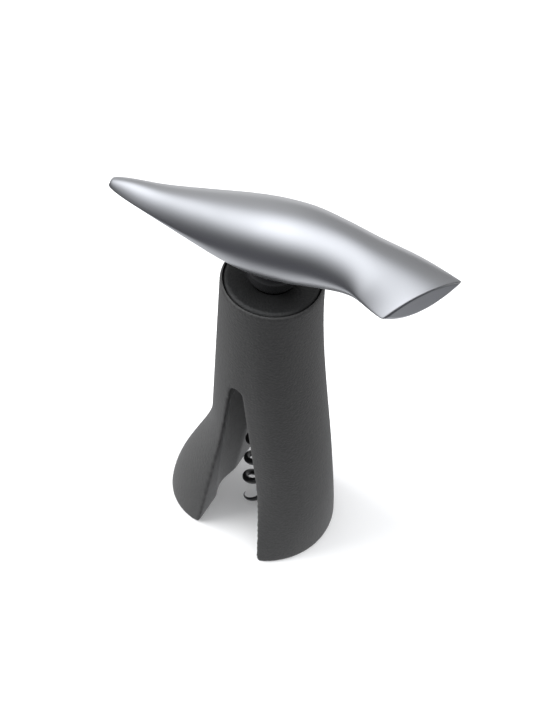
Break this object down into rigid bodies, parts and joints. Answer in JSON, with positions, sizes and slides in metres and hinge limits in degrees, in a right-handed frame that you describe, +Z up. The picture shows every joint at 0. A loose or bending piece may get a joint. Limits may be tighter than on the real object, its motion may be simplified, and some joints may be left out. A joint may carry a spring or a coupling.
{
  "type": "continuous-turn corkscrew",
  "caption": "Self-pulling corkscrew: sculpted satin metal handle and coated worm that turn and lift in a bell-shaped plastic frame on two flared legs.",
  "frame": {"origin": "on the table, on the worm's axis, at the bottom centre of the object's box", "axes": "+Z up along the worm; the legs stand along X, the handle's tail points to +X and its nose to -X, and the two slots face -Y and +Y"},
  "size_m": [0.1283, 0.0512, 0.1729],
  "materials": {
    "grey_plastic": "fine matte texture",
    "black_plastic": "fine satin texture",
    "gloss_black": "gloss",
    "guide_nylon": "satin",
    "satin_casting": "satin, fine blasted",
    "steel_fittings": "machined",
    "sleeve_brass": "machined",
    "worm_coating": "black low-friction coating"
  },
  "bodies": {
    "frame": {"bell_shell": "grey_plastic", "collar_ring": "black_plastic", "worm_guide_bush": "guide_nylon", "bush_retaining_clip": "steel_fittings"},
    "hub_carriage": {"hub_dome": "gloss_black", "hub_bearing_sleeve": "sleeve_brass"},
    "turning_unit": {"handle_casting": "satin_casting", "shank_ferrule": "steel_fittings", "shank_cross_pin": "steel_fittings", "shank_clip": "steel_fittings", "thrust_washer": "steel_fittings", "worm": "worm_coating"}
  },
  "joints": [
    {"name": "worm_lift", "type": "slide", "parent": "frame", "child": "hub_carriage", "axis": [0, 0, 1], "range_m": [0, 0.112]},
    {"name": "handle_turn", "type": "hinge", "parent": "hub_carriage", "child": "turning_unit", "pos_m": [0, 0, 0.1429], "axis": [0, 0, 1], "continuous": true}
  ]
}
